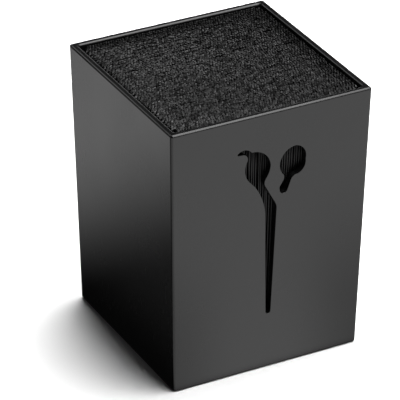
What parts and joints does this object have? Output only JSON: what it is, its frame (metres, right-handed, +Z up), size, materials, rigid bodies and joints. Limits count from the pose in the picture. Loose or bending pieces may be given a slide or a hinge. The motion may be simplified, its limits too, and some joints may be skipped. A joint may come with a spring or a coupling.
{
  "type": "knife and scissors block",
  "caption": "Square drafted holder with a scissors-shaped front window, packed with upright springy rods in a lift-out insert; blades are pushed in between the rods from above.",
  "frame": {"origin": "on the ground, below the middle of the case, at the underside of the feet", "axes": "+Z up, towards the open top; -Y is the front, with the window; +X is to the right of someone who faces the front"},
  "size_m": [0.11, 0.11, 0.1456],
  "materials": {
    "case_plastic": "satin black moulding with a fine even grain",
    "tray_plastic": "plain black moulding",
    "rod_plastic": "extruded black rod, slightly glossy along its length",
    "foot_rubber": "matt black rubber"
  },
  "bodies": {
    "case": {"case_shell": "case_plastic", "foot_front_left": "foot_rubber", "foot_front_right": "foot_rubber", "foot_back_left": "foot_rubber", "foot_back_right": "foot_rubber"},
    "rod_insert": {"insert_tray": "tray_plastic", "fused_root_slab": "rod_plastic", "rod_row_01": "rod_plastic", "rod_row_02": "rod_plastic", "rod_row_03": "rod_plastic", "rod_row_04": "rod_plastic", "rod_row_05": "rod_plastic", "rod_row_06": "rod_plastic", "rod_row_07": "rod_plastic", "rod_row_08": "rod_plastic", "rod_row_09": "rod_plastic", "rod_row_10": "rod_plastic", "rod_row_11": "rod_plastic", "rod_row_12": "rod_plastic", "rod_row_13": "rod_plastic", "rod_row_14": "rod_plastic", "rod_row_15": "rod_plastic", "rod_row_16": "rod_plastic", "rod_row_17": "rod_plastic", "rod_row_18": "rod_plastic", "rod_row_19": "rod_plastic", "rod_row_20": "rod_plastic", "rod_row_21": "rod_plastic", "rod_row_22": "rod_plastic", "rod_row_23": "rod_plastic", "rod_row_24": "rod_plastic", "rod_row_25": "rod_plastic", "rod_row_26": "rod_plastic", "rod_row_27": "rod_plastic", "rod_row_28": "rod_plastic", "rod_row_29": "rod_plastic", "rod_row_30": "rod_plastic", "rod_row_31": "rod_plastic", "rod_row_32": "rod_plastic", "rod_row_33": "rod_plastic", "rod_row_34": "rod_plastic", "rod_row_35": "rod_plastic"}
  },
  "joints": [
    {"name": "insert_lift", "type": "slide", "parent": "case", "child": "rod_insert", "axis": [0, 0, 1], "range_m": [0, 0.15]}
  ]
}
